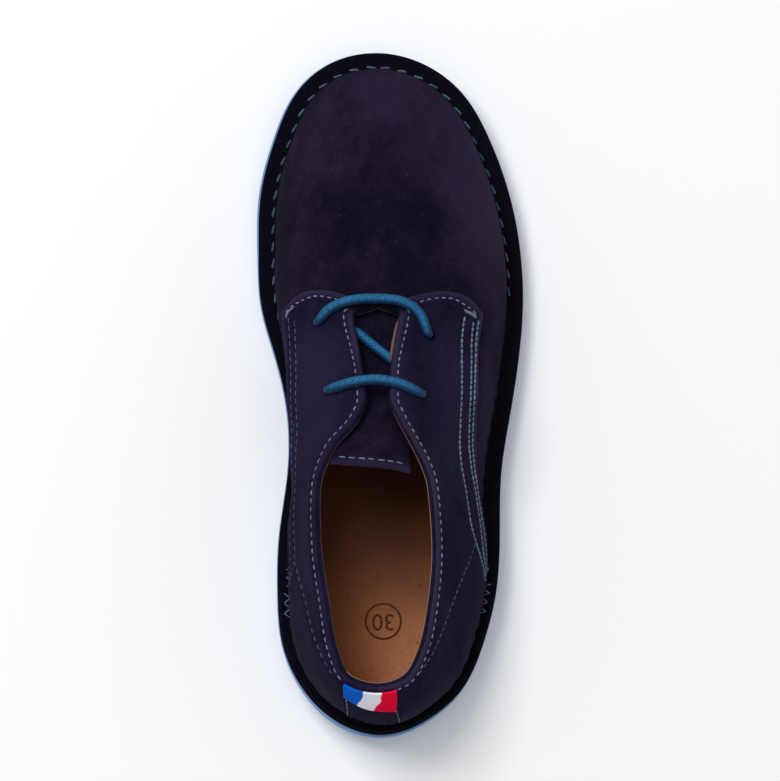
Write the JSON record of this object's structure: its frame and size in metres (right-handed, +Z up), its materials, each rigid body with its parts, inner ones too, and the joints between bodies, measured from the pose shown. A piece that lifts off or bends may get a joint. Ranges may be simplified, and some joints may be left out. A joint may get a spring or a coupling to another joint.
{
  "type": "derby shoe",
  "caption": "Low lace-up derby shoe for the right foot: stitched-down suede upper with a round toe, open quarters laced over a tongue, on a flat rubber sole with a low heel.",
  "frame": {"origin": "on the ground under the middle of the shoe's box", "axes": "+Z up, +Y towards the toe, +X towards the outer (lateral) side of this right shoe"},
  "size_m": [0.0828, 0.2127, 0.0715],
  "materials": {
    "outsole_rubber": "matt blue rubber",
    "insole_leather": "smooth tan leather",
    "vamp_suede": "navy suede, napped",
    "quarter_suede": "navy suede, napped",
    "ribbon": "woven ribbon in blue, white and red",
    "lace_cord": "round braided cord, teal blue"
  },
  "bodies": {
    "root": {"outsole": "outsole_rubber", "insole": "insole_leather", "upper": "vamp_suede", "quarter_lateral": "quarter_suede", "quarter_medial": "quarter_suede", "tongue": "vamp_suede", "back_strap": "quarter_suede", "heel_ribbon": "ribbon", "lace": "lace_cord"}
  },
  "joints": []
}
